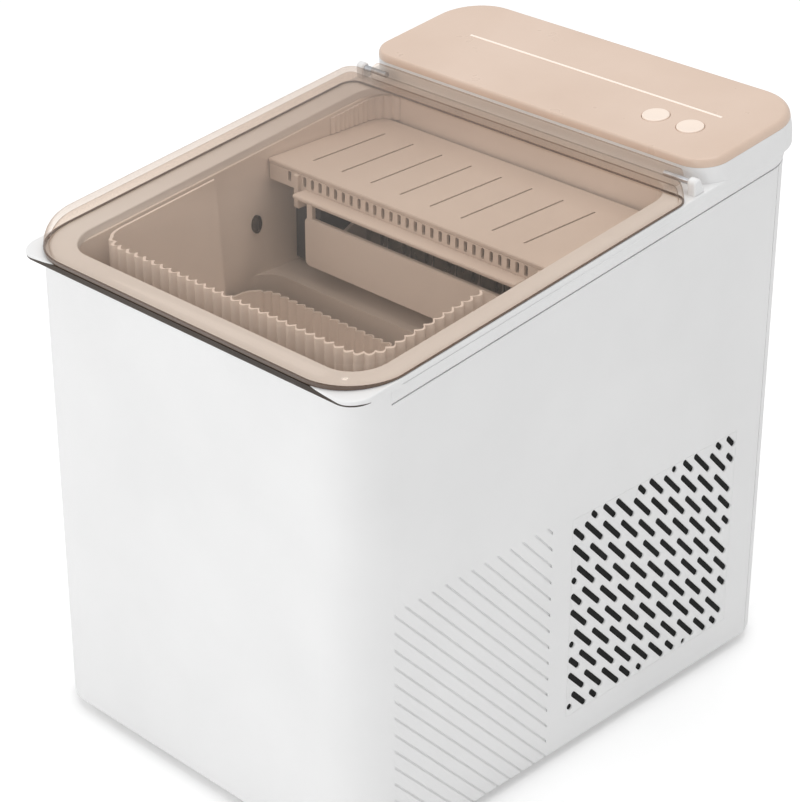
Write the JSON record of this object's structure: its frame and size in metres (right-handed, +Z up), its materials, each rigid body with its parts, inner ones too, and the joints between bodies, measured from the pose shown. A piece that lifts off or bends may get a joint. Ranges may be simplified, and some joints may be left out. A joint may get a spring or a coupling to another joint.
{
  "type": "ice maker",
  "caption": "Countertop ice maker: white rounded case, tinted hinged lid over an ice basket, sloping beige control panel, diagonal-slot grilles, full internal works.",
  "frame": {"origin": "on the table under the middle of the body, at the bottom of the feet", "axes": "+Z up, the front faces -Y, the right side with its grille faces +X"},
  "size_m": [0.224, 0.3105, 0.2956],
  "materials": {
    "white_shell": "satin white ABS with a fine mould texture",
    "panel_beige": "glossy champagne beige panel",
    "button_cream": "smooth cream button",
    "light_strip": "frosted light guide",
    "tinted_lid": "clear champagne-smoke tinted polycarbonate, polished",
    "liner_cream": "matt cream polypropylene",
    "basket_cream": "matt cream polypropylene with moulded flutes",
    "foam": "expanded foam beads",
    "base_grey": "matt light grey moulding",
    "rubber_dark": "matt moulded rubber",
    "steel": "bright zinc plated steel",
    "copper": "bare drawn copper",
    "nickel": "nickel plated copper",
    "compressor_black": "black satin paint",
    "aluminium_fins": "thin mill-finish fins",
    "motor_grey": "matt grey casing",
    "black_plastic": "matt black moulding",
    "circuit_green": "green solder mask with components",
    "float_blue": "closed-cell float",
    "hose_clear": "translucent silicone hose",
    "brass_valve": "brass body with a coil",
    "sensor_dark": "dark infrared window"
  },
  "bodies": {
    "case": {"base_pan": "base_grey", "feet": "rubber_dark", "housing_wrap": "white_shell", "grille_right": "white_shell", "grille_left": "white_shell", "rear_cover": "white_shell", "top_cover": "white_shell", "control_panel_cover": "panel_beige", "indicator_light_bar": "light_strip", "control_board": "circuit_green", "lid_hinge_pins": "steel", "liner": "liner_cream", "insulation": "foam", "evaporator": "nickel", "evaporator_cover": "liner_cream", "tray_bearing": "liner_cream", "tray_motor": "motor_grey", "ir_sensor_left": "sensor_dark", "ir_sensor_right": "sensor_dark", "float_switch_stem": "liner_cream", "water_pump": "black_plastic", "water_hose": "hose_clear", "compressor": "compressor_black", "compressor_grommets": "rubber_dark", "compressor_bolts": "steel", "condenser": "aluminium_fins", "fan_shroud": "black_plastic", "fan_motor": "motor_grey", "discharge_tube": "copper", "suction_tube": "copper", "capillary_tube": "copper", "filter_drier": "copper", "hot_gas_valve": "brass_valve", "power_inlet": "black_plastic", "power_board": "circuit_green", "wiring_harness": "rubber_dark", "drain_spout": "base_grey", "housing_screws": "steel"},
    "lid": {"lid": "tinted_lid"},
    "power_button": {"power_button": "button_cream"},
    "size_button": {"size_button": "button_cream"},
    "ice_basket": {"ice_basket": "basket_cream"},
    "water_tray": {"water_tray": "liner_cream"},
    "ice_shovel": {"ice_shovel": "basket_cream"},
    "fan_blade": {"fan_blade": "black_plastic"},
    "pump_impeller": {"pump_impeller": "liner_cream"},
    "level_float": {"level_float": "float_blue"},
    "drain_plug": {"drain_plug": "rubber_dark"}
  },
  "joints": [
    {"name": "lid_hinge", "type": "hinge", "parent": "case", "child": "lid", "pos_m": [0, 0.0689, 0.27881], "axis": [-1, 0, 0], "range_deg": [0, 95]},
    {"name": "power_button_press", "type": "slide", "parent": "case", "child": "power_button", "axis": [0, 0.1149, -0.9934], "range_m": [0, 0.001], "stiffness_N_per_m": 600},
    {"name": "size_button_press", "type": "slide", "parent": "case", "child": "size_button", "axis": [0, 0.1149, -0.9934], "range_m": [0, 0.001], "stiffness_N_per_m": 600},
    {"name": "basket_lift", "type": "slide", "parent": "case", "child": "ice_basket", "axis": [0, 0, 1], "range_m": [0, 0.006]},
    {"name": "tray_tilt", "type": "hinge", "parent": "case", "child": "water_tray", "pos_m": [0, 0.025, 0.226], "axis": [1, 0, 0], "range_deg": [0, 75]},
    {"name": "shovel_swing", "type": "hinge", "parent": "case", "child": "ice_shovel", "pos_m": [0, -0.006, 0.24], "axis": [-1, 0, 0], "range_deg": [0, 50]},
    {"name": "fan_spin", "type": "hinge", "parent": "case", "child": "fan_blade", "pos_m": [0.06, 0.053, 0.077], "axis": [1, 0, 0], "continuous": true},
    {"name": "impeller_spin", "type": "hinge", "parent": "case", "child": "pump_impeller", "pos_m": [0.062, -0.038, 0.072], "axis": [0, 0, 1], "continuous": true},
    {"name": "float_rise", "type": "slide", "parent": "case", "child": "level_float", "axis": [0, 0, 1], "range_m": [0, 0.018]},
    {"name": "drain_plug_pull", "type": "slide", "parent": "case", "child": "drain_plug", "axis": [-1, 0, 0], "range_m": [0, 0.016]}
  ],
  "couplings": [
    {"joint": "shovel_swing", "follows": "tray_tilt", "ratio": 0.66667}
  ]
}
